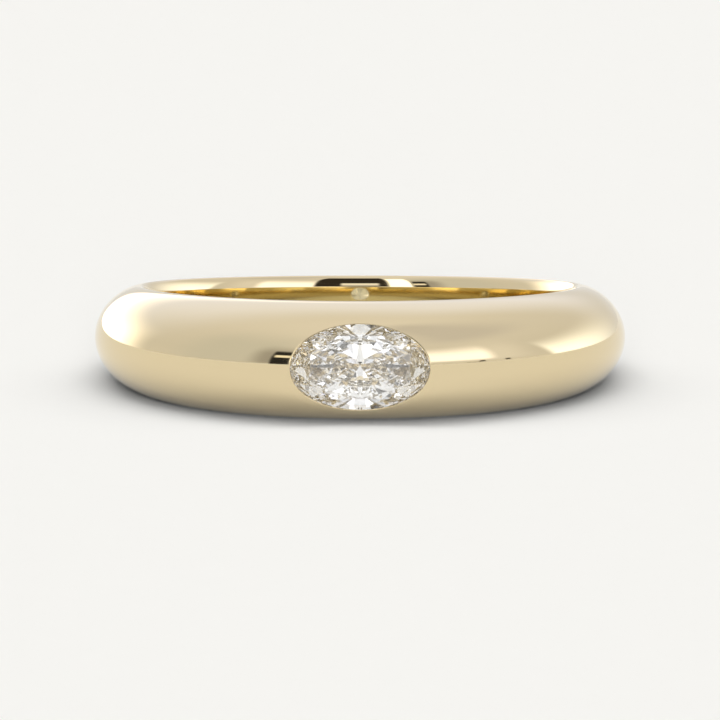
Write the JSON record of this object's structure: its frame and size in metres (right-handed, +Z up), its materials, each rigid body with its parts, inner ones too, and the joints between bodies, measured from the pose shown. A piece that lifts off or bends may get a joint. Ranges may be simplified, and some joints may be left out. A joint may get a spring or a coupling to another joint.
{
  "type": "flush set gypsy ring",
  "caption": "Domed yellow gold ring, wide at the front and tapered to the back, with an oval brilliant sunk flush into its front.",
  "frame": {"origin": "on the surface that the ring lies on, straight below the middle of the finger hole", "axes": "+Z up from that surface, the stone faces -Y, and X runs across the ring along the stone's length"},
  "size_m": [0.0206, 0.0206, 0.0045],
  "materials": {
    "yellow_gold": "14 carat yellow gold, high polish",
    "clear_stone": "clear, cut and polished facets"
  },
  "bodies": {
    "root": {"band": "yellow_gold", "oval_stone": "clear_stone"}
  },
  "joints": []
}
